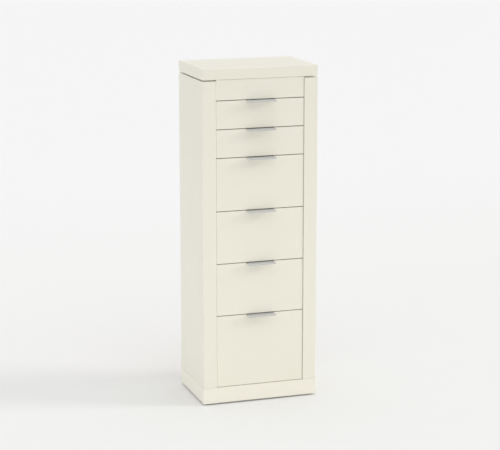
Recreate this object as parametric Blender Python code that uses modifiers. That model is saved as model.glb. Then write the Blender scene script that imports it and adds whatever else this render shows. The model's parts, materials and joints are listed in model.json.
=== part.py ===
"""Tall chest of drawers: two thick side panels between a thick top slab and a thick base, a fixed fascia,
and six inset drawers with metal edge pulls, each hung on two grooved runners.

Metres, +Z up, +X to the right, +Y to the back. The origin is on the floor at the middle of the footprint,
pulls included. Run it with: blender --background --python part.py
"""

import math

import bmesh
import bpy

# Overall size.
WIDTH = 0.400
DEPTH = 0.270
TOUCH_GAP = 0.0003  # kept between pieces that rest on each other

# Heights, from the floor up.
GLIDE_HEIGHT = 0.005
BASE_HEIGHT = 0.054
DEEP_DRAWER = 0.247
MEDIUM_DRAWER = 0.178
SHALLOW_DRAWER = 0.095
FASCIA_HEIGHT = 0.069
SLAB_THICKNESS = 0.036
SHADOW_GAP = 0.0045  # open slot between the side panels and the slab
SPACER_INSET = 0.013

# Casing.
SIDE_THICKNESS = 0.047
BACK_THICKNESS = 0.004
BACK_REBATE = 0.008
RAIL_THICKNESS = 0.018
FRONT_RECESS = 0.0025  # the drawer fronts lie this far behind the side panels' front edges
EDGE_ROUND = 0.0015
FASCIA_GAP = 0.0008

# Drawers.
FRONT_THICKNESS = 0.019
FRONT_SIDE_GAP = 0.0010
FRONT_GAP = 0.0024
SIDE_BOARD = 0.015
SIDE_CLEARANCE = 0.0025
BACK_BOARD = 0.014
BOX_REAR = 0.024  # from the box's rear to the casing's rear face
BOX_RAISE = 0.008
BOX_HEIGHTS = {SHALLOW_DRAWER: 0.070, MEDIUM_DRAWER: 0.140, DEEP_DRAWER: 0.200}
BOTTOM_THICKNESS = 0.004
BOTTOM_RAISE = 0.010
BOTTOM_TONGUE = 0.0045  # how far the bottom enters the sides and the front

# Runners.
RUNNER_WIDTH = 0.009
RUNNER_HEIGHT = 0.014
RUNNER_REAR = 0.017
NOSE_HEIGHT = 0.018
NOSE_LENGTH = 0.012
RUNNER_PLAY = 0.0005  # above and below a runner in its groove
TRAVEL = 0.165
STOP_PLAY = 0.001

# Edge pulls.
PULL_WIDTH = 0.096
PULL_REACH = 0.024  # from the side panels' front edges to the lip
PULL_PLATE = 0.002
PULL_SINK = 0.0002  # the plate lies this far below the front's top edge
PULL_LIP = 0.005
PULL_LEG = 0.020

# Glides.
GLIDE_RADIUS = 0.014
GLIDE_INSET = 0.032
GLIDE_SEGMENTS = 32
GLIDE_BEVEL = 0.0008

# Modelling.
CUT_OVERSHOOT = 0.010  # how far a cutter runs out past the board that it cuts
SMOOTH_BELOW = math.radians(35)
AXIS_SIZE = 0.050  # drawn size of a slide's empty
SIDES = {"left": -1, "right": 1}
TURN_TO_SIDE = (math.pi / 2, 0.0, math.pi / 2)  # turns an outline's plane into y and z

# Levels and planes that follow from these.
FRONT_PLANE = -(DEPTH - PULL_REACH) / 2
REAR_PLANE = FRONT_PLANE + DEPTH
PULL_TIP = FRONT_PLANE - PULL_REACH
INNER_HALF = WIDTH / 2 - SIDE_THICKNESS
BASE_TOP = GLIDE_HEIGHT + BASE_HEIGHT
STACK = [DEEP_DRAWER, MEDIUM_DRAWER, MEDIUM_DRAWER, MEDIUM_DRAWER, SHALLOW_DRAWER, SHALLOW_DRAWER]
FASCIA_LOW = BASE_TOP + sum(STACK)
SLAB_LOW = FASCIA_LOW + FASCIA_HEIGHT
SLAB_TOP = SLAB_LOW + SLAB_THICKNESS
SIDE_TOP = SLAB_LOW - SHADOW_GAP
FRONT_FACE = FRONT_PLANE + FRONT_RECESS
FRONT_BACK = FRONT_FACE + FRONT_THICKNESS
BOX_FRONT = FRONT_BACK + TOUCH_GAP
BOX_BACK = REAR_PLANE - BOX_REAR
BOX_HALF = INNER_HALF - SIDE_CLEARANCE
RUNNER_FRONT = FRONT_BACK + STOP_PLAY


def clear_scene():
    for obj in list(bpy.data.objects):
        bpy.data.objects.remove(obj, do_unlink=True)


def new_collection(name):
    collection = bpy.data.collections.new(name)
    bpy.context.scene.collection.children.link(collection)
    return collection


def new_material(name, colour, roughness, metallic=0.0):
    material = bpy.data.materials.new(name)
    material.use_nodes = True
    shader = material.node_tree.nodes["Principled BSDF"]
    shader.inputs["Base Color"].default_value = (*colour, 1.0)
    shader.inputs["Roughness"].default_value = roughness
    shader.inputs["Metallic"].default_value = metallic
    return material


def place(obj, collection, material=None, parent=None):
    """Links an object, gives it its material, and parents it without moving it."""
    collection.objects.link(obj)
    if material is not None:
        obj.data.materials.append(material)
    if parent is not None:
        obj.parent = parent
        obj.location = obj.location - parent.location
    return obj


def block(name, low, high, collection, material=None, parent=None, rounding=0.0):
    """A board between two opposite corners, its origin at its middle."""
    size = [b - a for a, b in zip(low, high)]
    mesh = bpy.data.meshes.new(name)
    shape = bmesh.new()
    bmesh.ops.create_cube(shape, size=1.0)
    bmesh.ops.scale(shape, vec=size, verts=shape.verts)
    shape.to_mesh(mesh)
    shape.free()
    obj = bpy.data.objects.new(name, mesh)
    obj.location = [(a + b) / 2 for a, b in zip(low, high)]
    place(obj, collection, material, parent)
    if rounding:
        bevel = obj.modifiers.new("rounded_edges", "BEVEL")
        bevel.width = rounding
        bevel.segments = 2
    return obj


def cutter(name, low, high):
    obj = block(name, low, high, cutters)
    obj.hide_render = True
    obj.display_type = "WIRE"
    return obj


def cut(obj, name, low, high):
    """Cuts a square groove, rebate or slot from a board."""
    groove = obj.modifiers.new(name, "BOOLEAN")
    groove.operation = "DIFFERENCE"
    groove.solver = "EXACT"
    groove.object = cutter(f"{obj.name}_{name}", low, high)


def extruded(name, outline, low, high, rotation, location, material, parent=None):
    """A flat outline carried from low to high along its own normal."""
    curve = bpy.data.curves.new(name, "CURVE")
    curve.dimensions = "2D"
    curve.fill_mode = "BOTH"
    curve.extrude = (high - low) / 2
    spline = curve.splines.new("POLY")
    spline.points.add(len(outline) - 1)
    for point, (across, up) in zip(spline.points, outline):
        point.co = (across, up, 0, 1)
    spline.use_cyclic_u = True
    obj = bpy.data.objects.new(name, curve)
    obj.rotation_euler = rotation
    obj.location = location
    return place(obj, chest, material, parent)


def mirrored(side, near, far):
    """The x span between two distances from the middle, on the left (-1) or the right (+1)."""
    return sorted((side * near, side * far))


def make_casing():
    block(
        "base_plinth",
        (-WIDTH / 2, FRONT_PLANE, GLIDE_HEIGHT),
        (WIDTH / 2, REAR_PLANE, BASE_TOP),
        chest, paint, rounding=EDGE_ROUND,
    )
    block(
        "top_slab",
        (-WIDTH / 2, FRONT_PLANE, SLAB_LOW),
        (WIDTH / 2, REAR_PLANE, SLAB_TOP),
        chest, paint, rounding=EDGE_ROUND,
    )
    for name, side in SIDES.items():
        xs = mirrored(side, INNER_HALF, WIDTH / 2)
        panel = block(
            f"{name}_side_panel",
            (xs[0], FRONT_PLANE, BASE_TOP + TOUCH_GAP),
            (xs[1], REAR_PLANE, SIDE_TOP),
            chest, paint, rounding=EDGE_ROUND,
        )
        rebate = mirrored(side, INNER_HALF - CUT_OVERSHOOT, INNER_HALF + BACK_REBATE)
        cut(
            panel, "back_rebate",
            (rebate[0], REAR_PLANE - BACK_THICKNESS - TOUCH_GAP, BASE_TOP - CUT_OVERSHOOT),
            (rebate[1], REAR_PLANE + CUT_OVERSHOOT, SIDE_TOP + CUT_OVERSHOOT),
        )
    make_top_spacer()
    block(
        "top_fascia",
        (-INNER_HALF + FASCIA_GAP, FRONT_FACE, FASCIA_LOW + FRONT_GAP / 2),
        (INNER_HALF - FASCIA_GAP, FRONT_BACK, SLAB_LOW - TOUCH_GAP),
        chest, paint, rounding=EDGE_ROUND / 2,
    )
    block(
        "rear_top_rail",
        (-INNER_HALF + TOUCH_GAP, REAR_PLANE - BACK_THICKNESS - TOUCH_GAP - RAIL_THICKNESS, FASCIA_LOW),
        (INNER_HALF - TOUCH_GAP, REAR_PLANE - BACK_THICKNESS - TOUCH_GAP, SIDE_TOP),
        chest, paint, rounding=EDGE_ROUND / 2,
    )
    block(
        "back_panel",
        (-INNER_HALF - BACK_REBATE + TOUCH_GAP, REAR_PLANE - BACK_THICKNESS, BASE_TOP + TOUCH_GAP),
        (INNER_HALF + BACK_REBATE - TOUCH_GAP, REAR_PLANE - TOUCH_GAP, SIDE_TOP),
        chest, hardboard,
    )


def make_top_spacer():
    """A thin board under the slab, set in from the casing's edges and notched round the fascia."""
    half = WIDTH / 2 - SPACER_INSET
    front = FRONT_PLANE + SPACER_INSET
    rear = REAR_PLANE - SPACER_INSET
    notch = INNER_HALF
    outline = [
        (-half, front), (-notch, front), (-notch, BOX_FRONT), (notch, BOX_FRONT),
        (notch, front), (half, front), (half, rear), (-half, rear),
    ]
    low = SIDE_TOP + TOUCH_GAP
    high = SLAB_LOW - TOUCH_GAP
    extruded("top_spacer", outline, low, high, (0, 0, 0), (0, 0, (low + high) / 2), paint)


def make_glides():
    for name, side in SIDES.items():
        ends = {"front": FRONT_PLANE + GLIDE_INSET, "rear": REAR_PLANE - GLIDE_INSET}
        for end, y in ends.items():
            mesh = bpy.data.meshes.new(f"{end}_{name}_glide")
            shape = bmesh.new()
            bmesh.ops.create_cone(
                shape, cap_ends=True, segments=GLIDE_SEGMENTS,
                radius1=GLIDE_RADIUS, radius2=GLIDE_RADIUS, depth=GLIDE_HEIGHT - TOUCH_GAP,
            )
            shape.to_mesh(mesh)
            shape.free()
            mesh.shade_smooth()
            mesh.set_sharp_from_angle(angle=SMOOTH_BELOW)
            glide = bpy.data.objects.new(mesh.name, mesh)
            glide.location = (side * (WIDTH / 2 - GLIDE_INSET), y, (GLIDE_HEIGHT - TOUCH_GAP) / 2)
            place(glide, chest, nylon)
            bevel = glide.modifiers.new("eased_rim", "BEVEL")
            bevel.width = GLIDE_BEVEL
            bevel.segments = 1
            bevel.limit_method = "ANGLE"


def make_front(name, slide, low, high, box_low):
    front = block(
        f"{name}_front",
        (-INNER_HALF + FRONT_SIDE_GAP, FRONT_FACE, low),
        (INNER_HALF - FRONT_SIDE_GAP, FRONT_BACK, high),
        chest, paint, slide, EDGE_ROUND / 2,
    )
    half = PULL_WIDTH / 2 + TOUCH_GAP
    cut(
        front, "pull_rebate",
        (-half, FRONT_FACE - CUT_OVERSHOOT, high - PULL_SINK - PULL_PLATE - TOUCH_GAP),
        (half, FRONT_BACK + CUT_OVERSHOOT, high + CUT_OVERSHOOT),
    )
    tongue = BOX_HALF - SIDE_BOARD + BOTTOM_TONGUE + TOUCH_GAP
    cut(
        front, "bottom_groove",
        (-tongue, FRONT_BACK - BOTTOM_TONGUE - TOUCH_GAP, box_low + BOTTOM_RAISE - TOUCH_GAP),
        (tongue, FRONT_BACK + CUT_OVERSHOOT, box_low + BOTTOM_RAISE + BOTTOM_THICKNESS + TOUCH_GAP),
    )


def make_pull(name, slide, top):
    """A metal strip that hooks over the front's top edge, with a turned-down lip to hold it by."""
    plate_top = top - PULL_SINK
    plate_low = plate_top - PULL_PLATE
    leg_front = FRONT_BACK + TOUCH_GAP
    outline = [
        (PULL_TIP, plate_top - PULL_LIP),
        (PULL_TIP + PULL_PLATE, plate_top - PULL_LIP),
        (PULL_TIP + PULL_PLATE, plate_low),
        (leg_front, plate_low),
        (leg_front, plate_top - PULL_LEG),
        (leg_front + PULL_PLATE, plate_top - PULL_LEG),
        (leg_front + PULL_PLATE, plate_top),
        (PULL_TIP + PULL_PLATE / 2, plate_top),
        (PULL_TIP, plate_top - PULL_PLATE / 2),
    ]
    half = PULL_WIDTH / 2
    extruded(f"{name}_pull", outline, -half, half, TURN_TO_SIDE, (0, 0, 0), aluminium, slide)


def make_box(name, slide, box_low, box_high):
    """Two grooved side boards, a back board and a thin bottom that slides in under the back."""
    runner_middle = (box_low + box_high) / 2
    tall_half = NOSE_HEIGHT / 2 + RUNNER_PLAY
    low_half = RUNNER_HEIGHT / 2 + RUNNER_PLAY
    step = RUNNER_FRONT + NOSE_LENGTH + TRAVEL + STOP_PLAY
    bottom_low = box_low + BOTTOM_RAISE
    bottom_high = bottom_low + BOTTOM_THICKNESS
    inner = BOX_HALF - SIDE_BOARD
    for side_name, side in SIDES.items():
        xs = mirrored(side, inner, BOX_HALF)
        side_board = block(
            f"{name}_{side_name}_side",
            (xs[0], BOX_FRONT, box_low),
            (xs[1], BOX_BACK, box_high),
            chest, birch_ply, slide,
        )
        groove = mirrored(side, INNER_HALF - RUNNER_WIDTH - 2 * TOUCH_GAP, BOX_HALF + CUT_OVERSHOOT)
        cut(
            side_board, "nose_groove",
            (groove[0], BOX_FRONT - CUT_OVERSHOOT, runner_middle - tall_half),
            (groove[1], step, runner_middle + tall_half),
        )
        cut(
            side_board, "runner_groove",
            (groove[0], step - CUT_OVERSHOOT, runner_middle - low_half),
            (groove[1], BOX_BACK + CUT_OVERSHOOT, runner_middle + low_half),
        )
        slot = mirrored(side, inner - CUT_OVERSHOOT, inner + BOTTOM_TONGUE + TOUCH_GAP)
        cut(
            side_board, "bottom_groove",
            (slot[0], BOX_FRONT - CUT_OVERSHOOT, bottom_low - TOUCH_GAP),
            (slot[1], BOX_BACK + CUT_OVERSHOOT, bottom_high + TOUCH_GAP),
        )
    block(
        f"{name}_back",
        (-inner + TOUCH_GAP, BOX_BACK - BACK_BOARD, bottom_high + TOUCH_GAP),
        (inner - TOUCH_GAP, BOX_BACK, box_high),
        chest, birch_ply, slide,
    )
    block(
        f"{name}_bottom",
        (-inner - BOTTOM_TONGUE, FRONT_BACK - BOTTOM_TONGUE, bottom_low),
        (inner + BOTTOM_TONGUE, BOX_BACK, bottom_high),
        chest, birch_ply, slide,
    )


def make_runners(name, middle):
    """A strip on each side panel. Its taller nose meets the step in the drawer's groove at full travel."""
    front = RUNNER_FRONT
    rear = REAR_PLANE - RUNNER_REAR
    low = middle - RUNNER_HEIGHT / 2
    high = middle + RUNNER_HEIGHT / 2
    nose_low = middle - NOSE_HEIGHT / 2
    nose_high = middle + NOSE_HEIGHT / 2
    shoulder = front + NOSE_LENGTH
    outline = [
        (front, nose_low), (shoulder, nose_low), (shoulder, low), (rear, low),
        (rear, high), (shoulder, high), (shoulder, nose_high), (front, nose_high),
    ]
    for side_name, side in SIDES.items():
        xs = mirrored(side, INNER_HALF - RUNNER_WIDTH, INNER_HALF - TOUCH_GAP)
        extruded(
            f"{name}_{side_name}_runner", outline, xs[0], xs[1],
            TURN_TO_SIDE, ((xs[0] + xs[1]) / 2, 0, 0), nylon,
        )


def make_drawers():
    """Drawer 1 is the top one. Each hangs from an empty on its own slide axis."""
    low = BASE_TOP
    for index, pitch in enumerate(STACK):
        name = f"drawer_{len(STACK) - index}"
        front_low = low + FRONT_GAP / 2
        front_high = low + pitch - FRONT_GAP / 2
        box_low = front_low + BOX_RAISE
        box_high = box_low + BOX_HEIGHTS[pitch]
        middle = (box_low + box_high) / 2
        slide = bpy.data.objects.new(f"{name}_slide_axis", None)
        slide.location = (0, FRONT_FACE, middle)
        slide.empty_display_size = AXIS_SIZE
        place(slide, chest)
        make_front(name, slide, front_low, front_high, box_low)
        make_pull(name, slide, front_high)
        make_box(name, slide, box_low, box_high)
        make_runners(name, middle)
        low += pitch


clear_scene()
chest = new_collection("tall_chest_of_drawers")
cutters = new_collection("cutters")
cutters.hide_render = True
paint = new_material("cream_lacquer", (0.80, 0.79, 0.66), 0.38)
birch_ply = new_material("birch_ply", (0.80, 0.69, 0.50), 0.50)
hardboard = new_material("hardboard", (0.50, 0.36, 0.22), 0.58)
aluminium = new_material("brushed_aluminium", (0.78, 0.79, 0.81), 0.30, 1.0)
nylon = new_material("white_nylon", (0.82, 0.82, 0.80), 0.42)
make_casing()
make_glides()
make_drawers()
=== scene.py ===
"""The looks of a tall chest of drawers: satin cream lacquer on board, brushed edge pulls,
birch-ply drawer boxes on nylon runners, and a hardboard back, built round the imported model."""

import json

import bmesh
import bpy
import numpy as np
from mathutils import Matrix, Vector

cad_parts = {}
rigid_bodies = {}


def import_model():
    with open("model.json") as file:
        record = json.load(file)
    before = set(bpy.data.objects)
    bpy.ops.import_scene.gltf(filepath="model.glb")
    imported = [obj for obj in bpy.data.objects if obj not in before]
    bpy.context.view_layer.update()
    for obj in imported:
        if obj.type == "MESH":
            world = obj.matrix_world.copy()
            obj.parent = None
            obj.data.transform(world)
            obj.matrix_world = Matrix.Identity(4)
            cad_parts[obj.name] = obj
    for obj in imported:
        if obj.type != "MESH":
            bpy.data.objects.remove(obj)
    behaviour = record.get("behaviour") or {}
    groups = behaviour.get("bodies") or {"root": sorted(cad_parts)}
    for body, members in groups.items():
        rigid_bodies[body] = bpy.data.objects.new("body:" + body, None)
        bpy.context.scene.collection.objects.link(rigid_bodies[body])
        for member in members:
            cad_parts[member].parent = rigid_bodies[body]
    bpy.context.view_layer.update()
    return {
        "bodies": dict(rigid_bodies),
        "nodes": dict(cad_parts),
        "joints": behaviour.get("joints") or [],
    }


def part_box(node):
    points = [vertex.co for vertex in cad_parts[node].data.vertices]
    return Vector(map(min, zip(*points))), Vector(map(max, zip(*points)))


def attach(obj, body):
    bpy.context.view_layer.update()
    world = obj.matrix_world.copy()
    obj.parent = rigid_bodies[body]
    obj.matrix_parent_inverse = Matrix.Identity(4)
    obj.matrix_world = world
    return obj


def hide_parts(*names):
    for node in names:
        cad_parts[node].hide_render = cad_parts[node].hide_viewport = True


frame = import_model()

DRAWERS = [name for name in frame["bodies"] if name.startswith("drawer_")]
CASING = next(name for name in frame["bodies"] if not name.startswith("drawer_"))
SIDES = {"left": -1, "right": 1}

# Lengths are in metres.
FIT = 0.0003  # the gap that touching pieces keep
SAME_POINT = 1e-6  # points closer together than this are one point
NO_LENGTH = 1e-7  # an edge shorter than this is dropped
CREASE = 50  # degrees between two faces, past which their edge is shaded sharp

# An outline's two axes, then the axis that it is carried along.
ACROSS = {"x": (1, 2, 0), "y": (0, 2, 1), "z": (0, 1, 2)}


# ---------------------------------------------------------------- surfaces


def rounded(corners, radii, steps=6):
    """An outline whose corners are arcs, as points, outward normals and an edge weight.

    An arc's centre lies inward of its corner, by the radius times the sum of the two edges'
    normals over one plus their dot product. Its points are the centre plus the radius times a
    normal that turns evenly from the first edge's normal to the second's. Corners run
    anticlockwise, and a hollow corner turns the other way. The weight is the sine of half a
    turn times the share of the arc, so 0 at its ends and 1 at its middle, and it stays 0 on
    sharp and hollow corners.
    """
    corner = np.array(corners, float)
    radius = np.broadcast_to(np.array(radii, float), len(corner))[:, None]
    into = corner - np.roll(corner, 1, axis=0)
    into /= np.linalg.norm(into, axis=1, keepdims=True)
    away = np.roll(into, -1, axis=0)
    cross = into[:, 0] * away[:, 1] - into[:, 1] * away[:, 0]
    turn = np.arctan2(cross, (into * away).sum(1))[:, None]
    start = np.arctan2(-into[:, 0], into[:, 1])[:, None]
    share = np.linspace(0, 1, steps + 1)
    angle = start + turn * share
    normal = np.stack([np.cos(angle), np.sin(angle)], axis=-1)
    side = np.where(turn < 0, -1.0, 1.0)
    both = normal[:, 0] + normal[:, -1]
    centre = corner - side * radius * both / (1 + np.cos(turn))
    points = centre[:, None] + (side * radius)[..., None] * normal
    weight = np.sin(np.pi * share) * (radius > 0) * (turn > 0)
    return points.reshape(-1, 2), normal.reshape(-1, 2), weight.reshape(-1)


def circle(middle, radius, steps=48):
    """A round outline: the middle plus the radius times the cosine and sine of an even angle."""
    angle = np.linspace(0, 2 * np.pi, steps, endpoint=False)
    normal = np.stack([np.cos(angle), np.sin(angle)], axis=-1)
    return np.array(middle) + radius * normal, normal, np.zeros(steps)


def eased(low, high, ease, steps=5):
    """Places along a board, how far its outline draws in there so that both ends are quarter
    rounds, and the edge weight there.

    At a turn t from 0 to a quarter, the outline is drawn in by the ease times one minus the
    sine of t, at a place that is the ease times one minus the cosine of t from the end. The
    weight is the sine of twice t.
    """
    turn = np.linspace(0, np.pi / 2, steps + 1)
    inset = ease * (1 - np.sin(turn))
    along = ease * (1 - np.cos(turn))
    weight = np.sin(2 * turn)
    places = np.concatenate([low + along, high - along[::-1]])
    return places, np.concatenate([inset, inset[::-1]]), np.concatenate([weight, weight[::-1]])


def quads_between(index):
    """The faces between each ring and the next, from the rings' point numbers. A ring closes."""
    beside = np.roll(index, -1, axis=-1)
    corners = [index[..., :-1, :], beside[..., :-1, :], beside[..., 1:, :], index[..., 1:, :]]
    return np.stack(corners, axis=-1).reshape(-1, 4).tolist()


def skin(name, rings, attributes):
    """A closed mesh from a stack of equal rings: quads between neighbours, and two flat caps."""
    index = np.arange(rings[..., 0].size).reshape(rings.shape[:2])
    caps = [index[0].tolist(), index[-1].tolist()]
    mesh = bpy.data.meshes.new(name)
    mesh.from_pydata(rings.reshape(-1, 3).tolist(), [], quads_between(index) + caps)
    for label, values in attributes.items():
        layer = mesh.attributes.new(label, "FLOAT", "POINT")
        layer.data.foreach_set("value", np.asarray(values, np.float32).reshape(-1))
    return tidied(name, mesh)


def tidied(name, mesh):
    """The mesh as an object, with its double points merged and its faces turned outwards. It is
    shaded smooth up to its creases, with normals weighted so that wide faces stay flat."""
    shape = bmesh.new()
    shape.from_mesh(mesh)
    bmesh.ops.remove_doubles(shape, verts=shape.verts, dist=SAME_POINT)
    bmesh.ops.dissolve_degenerate(shape, edges=shape.edges, dist=NO_LENGTH)
    bmesh.ops.recalc_face_normals(shape, faces=shape.faces)
    shape.to_mesh(mesh)
    shape.free()
    mesh.shade_smooth()
    mesh.set_sharp_from_angle(angle=np.radians(CREASE))
    obj = bpy.data.objects.new(name, mesh)
    bpy.context.scene.collection.objects.link(obj)
    even = obj.modifiers.new("flat_faces_stay_flat", "WEIGHTED_NORMAL")
    even.keep_sharp = True
    return obj


def carried(name, runs, axis, layer_axis=None):
    """A board or bar: outlines carried along an axis.

    Each run is an outline with the places along the axis where it stands, the draw-in at each,
    and the edge weight there. A point is its outline's point less its normal times the draw-in.
    The attribute "edge" is the larger of the two weights, the outline's fading to 0 where the
    draw-in is greatest, and "layer" runs from 0 to 1 through the board's thickness.
    """
    first, second, third = ACROSS[axis]
    rings, edges = [], []
    for (points, normals, corner_weight), (places, insets, end_weight) in runs:
        ring = np.empty((len(places), len(points), 3))
        flat = points - insets[:, None, None] * normals
        ring[..., first] = flat[..., 0]
        ring[..., second] = flat[..., 1]
        ring[..., third] = places[:, None]
        rings.append(ring)
        # A run that isn't drawn in anywhere keeps its outline's weight all along.
        fade = 1 - insets / max(insets.max(), 1e-9)
        edges.append(np.maximum(end_weight[:, None], corner_weight * fade[:, None]))
    stack = np.concatenate(rings)
    attributes = {"edge": np.concatenate(edges)}
    if layer_axis is not None:
        through = stack[..., "xyz".index(layer_axis)]
        attributes["layer"] = (through - through.min()) / (through.max() - through.min())
    return skin(name, stack, attributes)


def board(node, axis, radius, layer_axis=None):
    """A plain board in the box of its CAD node, every edge rounded by the same radius."""
    low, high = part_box(node)
    first, second, third = ACROSS[axis]
    corners = [
        (low[first], low[second]), (high[first], low[second]),
        (high[first], high[second]), (low[first], high[second]),
    ]
    run = (rounded(corners, radius), eased(low[third], high[third], radius))
    return carried(node + "_finished", [run], axis, layer_axis)


def screw_heads(name, centres, axis, sign, radius, height):
    """Pan heads with a cross recess, all in one mesh.

    A head is a polar grid. Its height is the full height times the fourth root of one minus the
    fourth power of the share of the radius, less a recess: deepest on two crossed bars and
    fading towards their ends. A last ring, all of it at the centre, closes the foot. Each head
    is the same grid moved to its centre and turned to face along the axis.
    """
    # The recess as shares of the radius: half a bar's width, its length, and how it fades out.
    bar_half, bar_reach, bar_fade = 0.13, 0.62, 0.12
    # And as shares of the height: how deep it is, and what is left at its lowest.
    depth, least = 0.75, 0.02
    share = np.concatenate([[0.0], np.linspace(0.12, 0.96, 9), [1.0]])[:, None]
    angle = np.linspace(0, 2 * np.pi, 32, endpoint=False)[None, :]
    across, up = share * np.cos(angle), share * np.sin(angle)
    narrow = np.minimum(abs(across), abs(up))
    wide = np.maximum(abs(across), abs(up))
    recess = np.exp(-((narrow / bar_half) ** 4)) * np.clip((bar_reach - wide) / bar_fade, 0, 1)
    out = height * ((1 - share**4) ** 0.25 - depth * recess)
    out = np.maximum(out, least * height) * (share < 1)
    grid = np.stack([radius * across, radius * up, out], axis=-1)
    grid = np.concatenate([grid, grid[-1:] * np.array([0.0, 0.0, 1.0])])
    rows, columns = grid.shape[:2]
    stack = np.array(centres, float)[:, None, None, :]
    stack = stack.repeat(rows, axis=1).repeat(columns, axis=2)
    first, second, third = ACROSS[axis]
    stack[..., first] += grid[..., 0]
    stack[..., second] += grid[..., 1]
    stack[..., third] += sign * grid[..., 2]
    index = np.arange(stack[..., 0].size).reshape(stack.shape[:3])
    mesh = bpy.data.meshes.new(name)
    mesh.from_pydata(stack.reshape(-1, 3).tolist(), [], quads_between(index))
    return tidied(name, mesh)


def stand_for(piece, material, body, *nodes, slot=None):
    """Gives a piece its finish and its body, and hides the CAD nodes that it stands for."""
    piece.data.materials.append(material)
    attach(piece, body)
    if nodes:
        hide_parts(*nodes)


# ---------------------------------------------------------------- materials

# A noise's scale is how many of its features fit in a metre. A Mix node's sockets go by number:
# 0 is its share, 2 and 3 its two plain values, 6 and 7 its two colours, and its output 2 is the
# mixed colour.


def linear(shade):
    """An sRGB hex colour as linear red, green, blue and an alpha of 1."""
    parts = np.array([int(shade[place:place + 2], 16) for place in (1, 3, 5)]) / 255
    curve = np.where(parts <= 0.04045, parts / 12.92, ((parts + 0.055) / 1.055) ** 2.4)
    return (*curve.tolist(), 1.0)


def add(tree, kind, sockets=None, **settings):
    """Adds a node, sets its properties, and fills its sockets. A node or a socket given there
    is linked."""
    node = tree.nodes.new(kind)
    for label, value in settings.items():
        setattr(node, label, value)
    for place, value in (sockets or {}).items():
        if isinstance(value, bpy.types.Node):
            value = value.outputs[0]
        if isinstance(value, bpy.types.NodeSocket):
            tree.links.new(value, node.inputs[place])
        else:
            node.inputs[place].default_value = value
    return node


def finish_of(name, roughness, metallic=0.0, ior=1.5):
    """A material with its node tree and its Principled shader, whose even values are set on the
    shader itself."""
    material = bpy.data.materials.new(name)
    material.use_nodes = True
    tree = material.node_tree
    shader = tree.nodes["Principled BSDF"]
    shader.inputs["Roughness"].default_value = roughness
    shader.inputs["Metallic"].default_value = metallic
    shader.inputs["IOR"].default_value = ior
    return material, tree, shader


def satin_lacquer(name, base, warm, worn):
    """Sprayed cream lacquer on board: an even satin sheen with a faint orange peel, a tone that
    drifts by a shade over a hand's width, and edges that handling has polished a little."""
    material, tree, shader = finish_of(name, 0.36, ior=1.49)
    place = add(tree, "ShaderNodeTexCoord").outputs["Object"]
    # Tone and sheen drift over about 140 mm.
    drift = add(
        tree, "ShaderNodeTexNoise", {"Vector": place, "Scale": 7.0, "Detail": 3.0},
    ).outputs["Fac"]
    tone = add(
        tree, "ShaderNodeMix", {0: drift, 6: linear(base), 7: linear(warm)}, data_type="RGBA",
    ).outputs[2]
    # The edges are rubbed in patches about 20 mm long.
    edge = add(tree, "ShaderNodeAttribute", attribute_name="edge").outputs["Fac"]
    rub = add(
        tree, "ShaderNodeTexNoise", {"Vector": place, "Scale": 45.0, "Detail": 4.0},
    ).outputs["Fac"]
    patchy = add(
        tree, "ShaderNodeMapRange",
        {"Value": rub, "From Min": 0.42, "From Max": 0.66, "To Min": 0.15, "To Max": 0.75},
    )
    wear = add(tree, "ShaderNodeMath", {0: edge, 1: patchy}, operation="MULTIPLY")
    colour = add(
        tree, "ShaderNodeMix", {0: wear, 6: tone, 7: linear(worn)}, data_type="RGBA",
    ).outputs[2]
    tree.links.new(colour, shader.inputs["Base Color"])
    # Roughness follows the drift, and drops by up to 0.14 where an edge is rubbed.
    sheen = add(
        tree, "ShaderNodeMapRange",
        {"Value": drift, "From Min": 0.3, "From Max": 0.7, "To Min": 0.33, "To Max": 0.42},
    )
    polish = add(tree, "ShaderNodeMath", {0: wear, 1: 0.14}, operation="MULTIPLY")
    gloss = add(tree, "ShaderNodeMath", {0: sheen, 1: polish}, operation="SUBTRACT")
    tree.links.new(gloss.outputs[0], shader.inputs["Roughness"])
    # Orange peel: dimples about 2.5 mm apart, under finer spray texture at 0.7 mm.
    peel = add(
        tree, "ShaderNodeTexNoise",
        {"Vector": place, "Scale": 400.0, "Detail": 1.0, "Roughness": 0.4},
    ).outputs["Fac"]
    spray = add(
        tree, "ShaderNodeTexNoise", {"Vector": place, "Scale": 1400.0, "Detail": 1.0},
    ).outputs["Fac"]
    relief = add(
        tree, "ShaderNodeMix", {0: 0.25, 2: peel, 3: spray}, data_type="FLOAT",
    ).outputs[0]
    bump = add(
        tree, "ShaderNodeBump", {"Height": relief, "Strength": 0.35, "Distance": 0.00012},
    )
    tree.links.new(bump.outputs[0], shader.inputs["Normal"])
    return material


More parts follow.
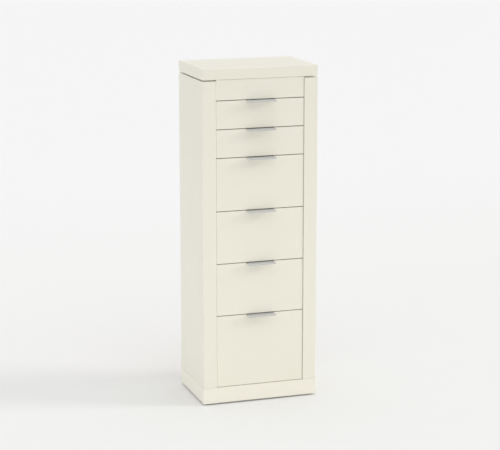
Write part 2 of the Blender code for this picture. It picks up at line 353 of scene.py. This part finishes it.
def birch_ply(name, along, light, dark, seam):
    """Birch plywood, sanded and sealed: pale, with faint grain that runs along one axis, a few
    short dark flecks, and fine darker plies on its cut edges."""
    material, tree, shader = finish_of(name, 0.5, ior=1.48)
    place = add(tree, "ShaderNodeTexCoord").outputs["Object"]
    # Grain: streaks about 3 mm apart and twenty times as long, in a figure about 25 mm wide.
    stretch = [1.0, 1.0, 1.0]
    stretch["xyz".index(along)] = 0.05
    grained = add(tree, "ShaderNodeMapping", {"Vector": place, "Scale": stretch})
    streak = add(
        tree, "ShaderNodeTexNoise",
        {"Vector": grained, "Scale": 330.0, "Detail": 5.0, "Roughness": 0.6, "Distortion": 0.6},
    ).outputs["Fac"]
    figure = add(
        tree, "ShaderNodeTexNoise",
        {"Vector": grained, "Scale": 40.0, "Detail": 3.0, "Distortion": 1.2},
    ).outputs["Fac"]
    grain = add(
        tree, "ShaderNodeMix", {0: 0.45, 2: streak, 3: figure}, data_type="FLOAT",
    ).outputs[0]
    ramp = add(
        tree, "ShaderNodeMapRange",
        {"Value": grain, "From Min": 0.36, "From Max": 0.66, "To Min": 0.0, "To Max": 1.0},
    )
    face = add(
        tree, "ShaderNodeMix", {0: ramp, 6: linear(light), 7: linear(dark)}, data_type="RGBA",
    ).outputs[2]
    # Plies: five dark layers through the board, seen only where its thickness shows.
    plies = 5
    layer = add(tree, "ShaderNodeAttribute", attribute_name="layer").outputs["Fac"]
    turns = add(
        tree, "ShaderNodeMath", {0: layer, 1: plies * 2 * np.pi}, operation="MULTIPLY",
    )
    wave = add(tree, "ShaderNodeMath", {0: turns}, operation="COSINE")
    ply = add(
        tree, "ShaderNodeMapRange",
        {"Value": wave, "From Min": 0.15, "From Max": -0.35, "To Min": 0.0, "To Max": 0.8},
    )
    colour = add(
        tree, "ShaderNodeMix", {0: ply, 6: face, 7: linear(seam)}, data_type="RGBA",
    ).outputs[2]
    tree.links.new(colour, shader.inputs["Base Color"])
    bump = add(tree, "ShaderNodeBump", {"Height": streak, "Strength": 0.25, "Distance": 0.0002})
    tree.links.new(bump.outputs[0], shader.inputs["Normal"])
    return material


def hardboard(name, light, dark):
    """Pressed hardboard: warm tan, with a felt of short dark and light fibres and a slight sheen
    from the hot press."""
    material, tree, shader = finish_of(name, 0.58)
    place = add(tree, "ShaderNodeTexCoord").outputs["Object"]
    # Fibres: a twisted noise whose ridges are about 2 mm apart, under clouds of about 30 mm.
    fibre = add(
        tree, "ShaderNodeTexNoise",
        {"Vector": place, "Scale": 520.0, "Detail": 6.0, "Roughness": 0.72, "Distortion": 2.2},
    ).outputs["Fac"]
    cloud = add(
        tree, "ShaderNodeTexNoise", {"Vector": place, "Scale": 30.0, "Detail": 5.0},
    ).outputs["Fac"]
    felt = add(
        tree, "ShaderNodeMix", {0: 0.16, 2: fibre, 3: cloud}, data_type="FLOAT",
    ).outputs[0]
    ramp = add(
        tree, "ShaderNodeMapRange",
        {"Value": felt, "From Min": 0.38, "From Max": 0.64, "To Min": 0.0, "To Max": 1.0},
    )
    colour = add(
        tree, "ShaderNodeMix", {0: ramp, 6: linear(dark), 7: linear(light)}, data_type="RGBA",
    ).outputs[2]
    tree.links.new(colour, shader.inputs["Base Color"])
    # The fibres stand out more in some patches, about 6 mm across, than in others.
    patch = add(
        tree, "ShaderNodeTexNoise", {"Vector": place, "Scale": 160.0, "Detail": 2.0},
    ).outputs["Fac"]
    height = add(tree, "ShaderNodeMath", {0: fibre, 1: patch}, operation="MULTIPLY")
    bump = add(tree, "ShaderNodeBump", {"Height": height, "Strength": 0.3, "Distance": 0.0003})
    tree.links.new(bump.outputs[0], shader.inputs["Normal"])
    return material


def brushed_aluminium(name, light, dark):
    """Brushed and anodised aluminium: a neutral silver. Its fine scratches run along the pull,
    so highlights spread across it, and its rounded edges carry a painted highlight, painted
    lighter in colour."""
    material, tree, shader = finish_of(name, 0.4, metallic=1.0)
    place = add(tree, "ShaderNodeTexCoord").outputs["Object"]
    # Scratches 0.5 mm apart, coarser than the real ones so that they show, and 40 mm long.
    drawn = add(tree, "ShaderNodeMapping", {"Vector": place, "Scale": (0.012, 1.0, 1.0)})
    scratch = add(
        tree, "ShaderNodeTexNoise",
        {"Vector": drawn, "Scale": 2000.0, "Detail": 3.0, "Roughness": 0.65},
    ).outputs["Fac"]
    tone = add(
        tree, "ShaderNodeMix", {0: scratch, 6: linear(dark), 7: linear(light)}, data_type="RGBA",
    ).outputs[2]
    # Painted highlight: the rounded edges are painted up to six tenths of the way to the light
    # colour.
    edge = add(tree, "ShaderNodeAttribute", attribute_name="edge").outputs["Fac"]
    painted_edge_highlight = add(tree, "ShaderNodeMath", {0: edge, 1: 0.6}, operation="MULTIPLY")
    colour = add(
        tree, "ShaderNodeMix", {0: painted_edge_highlight, 6: tone, 7: linear(light)}, data_type="RGBA",
    ).outputs[2]
    tree.links.new(colour, shader.inputs["Base Color"])
    rough = add(
        tree, "ShaderNodeMapRange",
        {"Value": scratch, "From Min": 0.3, "From Max": 0.7, "To Min": 0.64, "To Max": 0.78},
    )
    tree.links.new(rough.outputs[0], shader.inputs["Roughness"])
    bump = add(tree, "ShaderNodeBump", {"Height": scratch, "Strength": 1.0, "Distance": 0.0003})
    tree.links.new(bump.outputs[0], shader.inputs["Normal"])
    return material


def moulded_nylon(name, base, shade):
    """Moulded nylon: milky and slightly waxy, with faint flow marks and a matt mould texture."""
    material, tree, shader = finish_of(name, 0.42, ior=1.53)
    shader.inputs["Subsurface Weight"].default_value = 0.08
    shader.inputs["Subsurface Radius"].default_value = (0.002, 0.002, 0.0018)
    place = add(tree, "ShaderNodeTexCoord").outputs["Object"]
    # Flow marks about 17 mm apart, and mould texture at 0.6 mm.
    flow = add(
        tree, "ShaderNodeTexNoise",
        {"Vector": place, "Scale": 60.0, "Detail": 2.0, "Distortion": 0.8},
    ).outputs["Fac"]
    tone = add(
        tree, "ShaderNodeMix", {0: flow, 6: linear(base), 7: linear(shade)}, data_type="RGBA",
    ).outputs[2]
    tree.links.new(tone, shader.inputs["Base Color"])
    matt = add(
        tree, "ShaderNodeTexNoise", {"Vector": place, "Scale": 1600.0, "Detail": 1.0},
    ).outputs["Fac"]
    bump = add(tree, "ShaderNodeBump", {"Height": matt, "Strength": 0.2, "Distance": 0.00005})
    tree.links.new(bump.outputs[0], shader.inputs["Normal"])
    return material


def zinc_plate(name, base, shade):
    """Bright zinc-plated steel: a cool grey metal with cloudy, warmer patches of passivation."""
    material, tree, shader = finish_of(name, 0.34, metallic=1.0)
    place = add(tree, "ShaderNodeTexCoord").outputs["Object"]
    # Patches about 1.4 mm across, so that a head has a few of them.
    cloud = add(
        tree, "ShaderNodeTexNoise", {"Vector": place, "Scale": 700.0, "Detail": 3.0},
    ).outputs["Fac"]
    tone = add(
        tree, "ShaderNodeMix", {0: cloud, 6: linear(base), 7: linear(shade)}, data_type="RGBA",
    ).outputs[2]
    tree.links.new(tone, shader.inputs["Base Color"])
    rough = add(tree, "ShaderNodeMapRange", {"Value": cloud, "To Min": 0.25, "To Max": 0.48})
    tree.links.new(rough.outputs[0], shader.inputs["Roughness"])
    return material


lacquer = satin_lacquer("satin_cream_lacquer", "#eeebde", "#edeada", "#f5f3e9")
# The base takes a copy of the lacquer painted a touch paler than the rest: painted light that
# lifts the foot of the chest.
painted_light_base_lacquer = satin_lacquer("satin_cream_lacquer_pale", "#f2efe3", "#f1edde", "#f8f6ed")
ply_deep = birch_ply("birch_ply_grain_front_to_back", "y", "#ead9b8", "#dcc498", "#c9a877")
ply_wide = birch_ply("birch_ply_grain_side_to_side", "x", "#ead9b8", "#dcc498", "#c9a877")
pressed_board = hardboard("tan_hardboard", "#c3a37c", "#a98862")
aluminium = brushed_aluminium("brushed_anodised_aluminium", "#dfdfde", "#c4c4c3")
nylon = moulded_nylon("milky_nylon", "#eeebe2", "#e2ded2")
zinc = zinc_plate("bright_zinc_plate", "#cfd2d6", "#b3b0a4")


# ---------------------------------------------------------------- casing

# How far each board's edges are rounded.
SLAB_ROUND = 0.002
BASE_ROUND = 0.0008
PANEL_ROUND = 0.0016
RAIL_ROUND = 0.001
BACK_ROUND = 0.0004
GLIDE_ROUND = 0.0009

# The screws of the back board: how far they stand in from its edges, and a head's size.
BACK_SCREW_SIDE = 0.005
BACK_SCREW_END = 0.03
TOP_SCREW_SIDE = 0.06
TOP_SCREW_END = 0.02
BACK_HEAD = {"radius": 0.0034, "height": 0.0003}


def finish_casing():
    """The slab, the base, the fascia, the rear rail, the side panels and the back board. The
    spacer, of which only thin edges show, keeps its CAD shape and takes the lacquer."""
    for node, finish, edge in (
        ("top_slab", lacquer, SLAB_ROUND),
        # The base takes the paler copy of the lacquer, painted light on the foot of the chest.
        ("base_plinth", painted_light_base_lacquer, BASE_ROUND),
    ):
        stand_for(board(node, "z", edge), finish, CASING, node, slot="cream_lacquer")
    for node in ("top_fascia", "rear_top_rail"):
        stand_for(board(node, "x", RAIL_ROUND), lacquer, CASING, node, slot="cream_lacquer")
    spacer = frame["nodes"]["top_spacer"]
    spacer.data.materials.clear()
    spacer.data.materials.append(lacquer)
    for side_name, side in SIDES.items():
        finish_side_panel(f"{side_name}_side_panel", side)
    back = board("back_panel", "z", BACK_ROUND)
    stand_for(back, pressed_board, CASING, "back_panel", slot="hardboard")


def finish_side_panel(node, side):
    """A thick panel, carried upwards from its plan, which has a rebate for the back board."""
    low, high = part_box(node)
    back_low, back_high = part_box("back_panel")
    outer, inner = sorted((low.x, high.x), key=abs, reverse=True)
    rebate_x = side * (back_high.x + FIT)
    rebate_y = back_low.y - FIT
    plan = [
        (outer, low.y), (inner, low.y), (inner, rebate_y), (rebate_x, rebate_y),
        (rebate_x, high.y), (outer, high.y),
    ]
    radii = [PANEL_ROUND, PANEL_ROUND, BACK_ROUND, 0.0, PANEL_ROUND, PANEL_ROUND]
    if side > 0:
        plan, radii = plan[::-1], radii[::-1]
    run = (rounded(plan, radii), eased(low.z, high.z, PANEL_ROUND))
    piece = carried(node + "_finished", [run], "z")
    stand_for(piece, lacquer, CASING, node, slot="cream_lacquer")


def finish_glides():
    """Four round glides under the base, each a disc with rounded rims."""
    for end in ("front", "rear"):
        for side_name in SIDES:
            node = f"{end}_{side_name}_glide"
            low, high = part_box(node)
            middle = ((low.x + high.x) / 2, (low.y + high.y) / 2)
            run = (circle(middle, (high.x - low.x) / 2), eased(low.z, high.z, GLIDE_ROUND))
            piece = carried(node + "_finished", [run], "z")
            stand_for(piece, nylon, CASING, node, slot="white_nylon")


def fix_back_panel():
    """Pan-head screws through the back board: nine up each side, into the side panels, and three
    across the top, into the rear rail."""
    low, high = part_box("back_panel")
    rows = np.linspace(low.z + BACK_SCREW_END, high.z - BACK_SCREW_END, 9)
    columns = np.linspace(low.x + TOP_SCREW_SIDE, high.x - TOP_SCREW_SIDE, 3)
    sides = (low.x + BACK_SCREW_SIDE, high.x - BACK_SCREW_SIDE)
    centres = [(x, high.y, z) for z in rows for x in sides]
    centres += [(x, high.y, high.z - TOP_SCREW_END) for x in columns]
    heads = screw_heads("back_panel_screws", centres, "y", 1, **BACK_HEAD)
    stand_for(heads, zinc, CASING)


# ---------------------------------------------------------------- drawers

# A front: its rounded edges, the ramp over which its side view changes, and how deep the
# bottom's groove stays where there is none, so that every side view has the same corners.
FRONT_ROUND = 0.0014
FRONT_END_ROUND = 0.0012
RAMP = 0.0003
NO_GROOVE = 0.00002

# A pull: the strip's thickness, its lip's height, and its screws, each side of the middle and
# below the middle of its height.
PULL_THICK = 0.002
PULL_LIP = 0.005
PULL_ROUND = 0.0005
PULL_SCREW_OUT = 0.03
PULL_SCREW_DROP = 0.002
PULL_HEAD = {"radius": 0.0036, "height": 0.0016}

# A drawer box: its rounded edges and those of its grooves.
BOX_ROUND = 0.0006
GROOVE_ROUND = 0.0003

# A runner: half its strip's height, its nose's length, the play of a groove round it, the ramp
# where the groove narrows, the play left at the stop, its rounds and its screws.
STRIP_HALF = 0.007
NOSE_LENGTH = 0.012
RUNNER_PLAY = 0.0005
GROOVE_RAMP = 0.0005
STOP_PLAY = 0.001
NOSE_ROUND = 0.003
SHOULDER_ROUND = 0.001
HOLLOW_ROUND = 0.0006
RUNNER_ROUND = 0.0007
RUNNER_SCREW_END = 0.03
RUNNER_HEAD = {"radius": 0.0032, "height": 0.0004}


def finish_front(node, body):
    """A drawer front, its side view carried across. The pull's rebate and the bottom's groove are
    changes in that side view, each made over a short ramp."""
    low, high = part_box(node)
    pull_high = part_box(f"{body}_pull")[1]
    bottom_low, bottom_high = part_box(f"{body}_bottom")
    groove_low, groove_high = bottom_low.z - FIT, bottom_high.z + FIT
    radii = [FRONT_ROUND, 0.0, 0.0, 0.0, 0.0, FRONT_ROUND, FRONT_ROUND, FRONT_ROUND]

    def side_view(top, groove):
        corners = [
            (high.y, low.z), (high.y, groove_low), (groove, groove_low), (groove, groove_high),
            (high.y, groove_high), (high.y, top), (low.y, top), (low.y, low.z),
        ]
        return rounded(corners, radii)

    groove_y = bottom_low.y - FIT
    plain = side_view(high.z, high.y - NO_GROOVE)
    grooved = side_view(high.z, groove_y)
    rebated = side_view(pull_high.z - PULL_THICK - FIT, groove_y)
    places, insets, weights = eased(low.x, high.x, FRONT_END_ROUND)
    half = len(places) // 2
    groove_end = bottom_high.x + FIT
    rebate_end = pull_high.x + FIT
    flat = np.zeros(2)
    runs = [
        (plain, (places[:half], insets[:half], weights[:half])),
        (plain, (np.array([-groove_end - RAMP]), flat[:1], flat[:1])),
        (grooved, (np.array([-groove_end, -rebate_end - RAMP]), flat, flat)),
        (rebated, (np.array([-rebate_end, rebate_end]), flat, flat)),
        (grooved, (np.array([rebate_end + RAMP, groove_end]), flat, flat)),
        (plain, (np.array([groove_end + RAMP]), flat[:1], flat[:1])),
        (plain, (places[half:], insets[half:], weights[half:])),
    ]
    piece = carried(node + "_finished", runs, "x")
    stand_for(piece, lacquer, body, node, slot="cream_lacquer")


def finish_pull(node, body):
    """A bent strip, its side view carried across: a leg behind the front, a plate over its top
    edge, and a lip that turns down at the tip. Two screws go through the leg from behind."""
    low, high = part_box(node)
    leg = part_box(f"{body}_front")[1].y + FIT
    leg_back = leg + PULL_THICK
    lip_back = low.y + PULL_THICK
    plate_low = high.z - PULL_THICK
    lip_low = high.z - PULL_LIP
    corners = [
        (low.y, lip_low), (lip_back, lip_low), (lip_back, plate_low), (leg, plate_low),
        (leg, low.z), (leg_back, low.z), (leg_back, high.z), (low.y, high.z),
    ]
    radii = [0.0008, 0.0006, 0.0005, 0.0, 0.0006, 0.0006, 0.0014, 0.0018]
    run = (rounded(corners, radii, steps=8), eased(low.x, high.x, PULL_ROUND))
    piece = carried(node + "_finished", [run], "x")
    stand_for(piece, aluminium, body, node, slot="aluminium")
    height = (high.z + low.z) / 2 - PULL_SCREW_DROP
    centres = [(side * PULL_SCREW_OUT, leg_back, height) for side in SIDES.values()]
    heads = screw_heads(f"{body}_pull_screws", centres, "y", 1, **PULL_HEAD)
    stand_for(heads, zinc, body)


def finish_side_board(node, body, side):
    """A drawer side, its end view carried to the back: a groove for the bottom inside, and
    outside a groove for the runner that narrows near the back, where the runner's nose stops
    the drawer."""
    low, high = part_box(node)
    bottom_low, bottom_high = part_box(f"{body}_bottom")
    runner_low, runner_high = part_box(node.replace("_side", "_runner"))
    middle = (runner_low.z + runner_high.z) / 2
    outer, inner = sorted((low.x, high.x), key=abs, reverse=True)
    runner_inner = min(abs(runner_low.x), abs(runner_high.x))
    groove_x = side * (runner_inner - 2 * FIT)
    slot_x = side * (bottom_high.x + FIT)
    slot_low, slot_high = bottom_low.z - FIT, bottom_high.z + FIT
    radii = 2 * ([BOX_ROUND] + 4 * [GROOVE_ROUND] + [BOX_ROUND])
    order = slice(None) if side < 0 else slice(None, None, -1)

    def end_view(reach):
        corners = [
            (inner, low.z), (inner, slot_low), (slot_x, slot_low), (slot_x, slot_high),
            (inner, slot_high), (inner, high.z), (outer, high.z), (outer, middle + reach),
            (groove_x, middle + reach), (groove_x, middle - reach), (outer, middle - reach),
            (outer, low.z),
        ]
        return rounded(corners[order], radii[order], steps=3)

    nose = end_view((runner_high.z - runner_low.z) / 2 + RUNNER_PLAY)
    narrow = end_view(STRIP_HALF + RUNNER_PLAY)
    limit = next(joint for joint in frame["joints"] if joint["child"] == body)["range_m"][1]
    step = runner_low.y + NOSE_LENGTH + limit + STOP_PLAY
    places, insets, weights = eased(low.y, high.y, GROOVE_ROUND, steps=2)
    half = len(places) // 2
    flat = np.zeros(1)
    runs = [
        (nose, (places[:half], insets[:half], weights[:half])),
        (nose, (np.array([step]), flat, flat)),
        (narrow, (np.array([step + GROOVE_RAMP]), flat, flat)),
        (narrow, (places[half:], insets[half:], weights[half:])),
    ]
    piece = carried(node + "_finished", runs, "y", layer_axis="x")
    stand_for(piece, ply_deep, body, node, slot="birch_ply")


def finish_runner(node, side):
    """A nylon strip, its side view carried outwards, with a taller rounded nose. Gives back where
    its three screws go."""
    low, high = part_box(node)
    middle = (low.z + high.z) / 2
    strip_low, strip_high = middle - STRIP_HALF, middle + STRIP_HALF
    shoulder = low.y + NOSE_LENGTH
    corners = [
        (low.y, low.z), (shoulder, low.z), (shoulder, strip_low), (high.y, strip_low),
        (high.y, strip_high), (shoulder, strip_high), (shoulder, high.z), (low.y, high.z),
    ]
    lower_radii = [NOSE_ROUND, SHOULDER_ROUND, HOLLOW_ROUND, NOSE_ROUND]
    run = (rounded(corners, lower_radii + lower_radii[::-1]), eased(low.x, high.x, RUNNER_ROUND))
    piece = carried(node + "_finished", [run], "x")
    stand_for(piece, nylon, CASING, node, slot="white_nylon")
    inner = low.x if side > 0 else high.x
    places = np.linspace(low.y + RUNNER_SCREW_END, high.y - RUNNER_SCREW_END, 3)
    return [(inner, y, middle) for y in places]


def finish_drawers():
    """Every drawer's front, pull and box, its two runners, and the runners' screws, which are one
    piece on each side."""
    screws = {side_name: [] for side_name in SIDES}
    for body in DRAWERS:
        finish_front(f"{body}_front", body)
        finish_pull(f"{body}_pull", body)
        back = board(f"{body}_back", "x", BOX_ROUND, layer_axis="y")
        stand_for(back, ply_wide, body, f"{body}_back", slot="birch_ply")
        bottom = board(f"{body}_bottom", "y", GROOVE_ROUND, layer_axis="z")
        stand_for(bottom, ply_wide, body, f"{body}_bottom", slot="birch_ply")
        for side_name, side in SIDES.items():
            finish_side_board(f"{body}_{side_name}_side", body, side)
            screws[side_name] += finish_runner(f"{body}_{side_name}_runner", side)
    for side_name, side in SIDES.items():
        name = f"{side_name}_runner_screws"
        heads = screw_heads(name, screws[side_name], "x", -side, **RUNNER_HEAD)
        stand_for(heads, zinc, CASING)


# ---------------------------------------------------------------- studio

# The camera stands to the left of the front and looks down, both in degrees.
CAMERA_AZIMUTH = 18.40
CAMERA_TILT = 12.14
CAMERA_PLACE = (-1.7809, -5.3665, 1.8002)
CAMERA_LENS = 122.70

# The sky's brightness at the horizon, and its steps upwards: the height where one starts, the
# height where it ends, and the brightness there. A height is the sine of the angle.
HORIZON = 0.93
SKY_STEPS = ((0.0, 0.13, 0.97), (0.14, 0.32, 0.47), (0.50, 0.75, 1.17))

FLOOR_HALF = 80.0
# The floor is painted lighter behind the chest, as painted light.
PAINTED_LIGHT_FROM, PAINTED_LIGHT_TO = 0.2, 4.0  # how far behind the chest the floor turns lighter
LAMP_RADIUS = 0.5  # a snooted lamp's size, which softens its shadows


def make_camera():
    """A long lens, far enough away that the chest's verticals stay almost parallel."""
    data = bpy.data.cameras.new("camera")
    data.lens = CAMERA_LENS
    data.sensor_width = 36.0
    data.clip_end = 200.0
    camera = bpy.data.objects.new("camera", data)
    camera.location = CAMERA_PLACE
    camera.rotation_euler = np.radians((90 - CAMERA_TILT, 0, -CAMERA_AZIMUTH))
    bpy.context.scene.collection.objects.link(camera)
    bpy.context.scene.camera = camera


def make_sun(name, azimuth, elevation, strength, softness):
    """A far lamp, by where its light comes from: degrees to the right of the front, and above
    the floor."""
    data = bpy.data.lights.new(name, "SUN")
    data.energy = strength
    data.angle = np.radians(softness)
    lamp = bpy.data.objects.new(name, data)
    lamp.rotation_euler = np.radians((90 - elevation, 0, azimuth))
    bpy.context.scene.collection.objects.link(lamp)


def make_floor():
    """A wide pale floor, painted one shade lighter far behind the chest: painted light, as falls
    under a long studio sweep.
    """
    material, tree, shader = finish_of("matt_studio_floor", 0.9)
    shader.inputs["Specular IOR Level"].default_value = 0.1
    place = add(tree, "ShaderNodeTexCoord").outputs["Object"]
    behind = add(tree, "ShaderNodeSeparateXYZ", {0: place}).outputs["Y"]
    # Painted light: the floor's colour turns one shade lighter further behind the chest.
    far = add(
        tree, "ShaderNodeMapRange",
        {
            "Value": behind, "From Min": PAINTED_LIGHT_FROM, "From Max": PAINTED_LIGHT_TO,
            "To Min": 0.0, "To Max": 1.0,
        },
        interpolation_type="SMOOTHSTEP",
    )
    colour = add(
        tree, "ShaderNodeMix", {0: far, 6: linear("#efefee"), 7: linear("#f3f3f3")},
        data_type="RGBA",
    ).outputs[2]
    tree.links.new(colour, shader.inputs["Base Color"])
    turns = ((-1, -1), (1, -1), (1, 1), (-1, 1))
    corners = [(x * FLOOR_HALF, y * FLOOR_HALF, 0) for x, y in turns]
    mesh = bpy.data.meshes.new("studio_floor")
    mesh.from_pydata(corners, [], [(0, 1, 2, 3)])
    floor = bpy.data.objects.new("studio_floor", mesh)
    floor.data.materials.append(material)
    bpy.context.scene.collection.objects.link(floor)


def make_snooted_lamp(name, place, target, reach, power, tint):
    """A far, low lamp whose soft-edged beam reaches this far to each side of its target, so that
    it lifts the foot of the chest and hardly touches the floor. The camera doesn't see the lamp
    itself."""
    aim = Vector(target) - Vector(place)
    data = bpy.data.lights.new(name, "SPOT")
    data.energy = power
    data.color = linear(tint)[:3]
    data.shadow_soft_size = LAMP_RADIUS
    data.spot_size = 2 * np.arctan(reach / aim.length)
    data.spot_blend = 1.0
    lamp = bpy.data.objects.new(name, data)
    lamp.location = place
    lamp.rotation_euler = aim.to_track_quat("-Z", "Y").to_euler()
    lamp.visible_camera = False
    bpy.context.scene.collection.objects.link(lamp)


def make_world():
    """A pale backdrop all round that meets the floor at the floor's own brightness, a dimmer band
    above it, and a bright overhead sky. Each level gives way to the next over a smooth step in
    height."""
    world = bpy.data.worlds.new("soft_studio")
    world.use_nodes = True
    tree = world.node_tree
    direction = add(tree, "ShaderNodeTexCoord").outputs["Generated"]
    up = add(tree, "ShaderNodeSeparateXYZ", {"Vector": direction}).outputs["Z"]
    level = HORIZON
    for start, end, brightness in SKY_STEPS:
        level = add(
            tree, "ShaderNodeMapRange",
            {
                "Value": up, "From Min": start, "From Max": end,
                "To Min": level, "To Max": brightness,
            },
            interpolation_type="SMOOTHSTEP",
        )
    background = tree.nodes["Background"]
    background.inputs["Color"].default_value = (1, 1, 1, 1)
    tree.links.new(level.outputs[0], background.inputs["Strength"])
    bpy.context.scene.world = world


make_camera()
make_world()
make_sun("key", azimuth=71, elevation=24, strength=0.82, softness=17)
make_sun("left_fill", azimuth=-85, elevation=10, strength=0.06, softness=60)
make_snooted_lamp(
    "low_front_fill", (0.4, -6.0, 0.5), (0.0, -0.12, 0.05), reach=1.2, power=90, tint="#ffffff",
)
make_snooted_lamp(
    "low_left_fill", (-6.0, 0.4, 0.5), (-0.2, 0.0, 0.22), reach=0.8, power=110, tint="#f2f7ff",
)
make_floor()
finish_casing()
finish_glides()
fix_back_panel()
finish_drawers()
bpy.context.scene.view_settings.view_transform = "Standard"
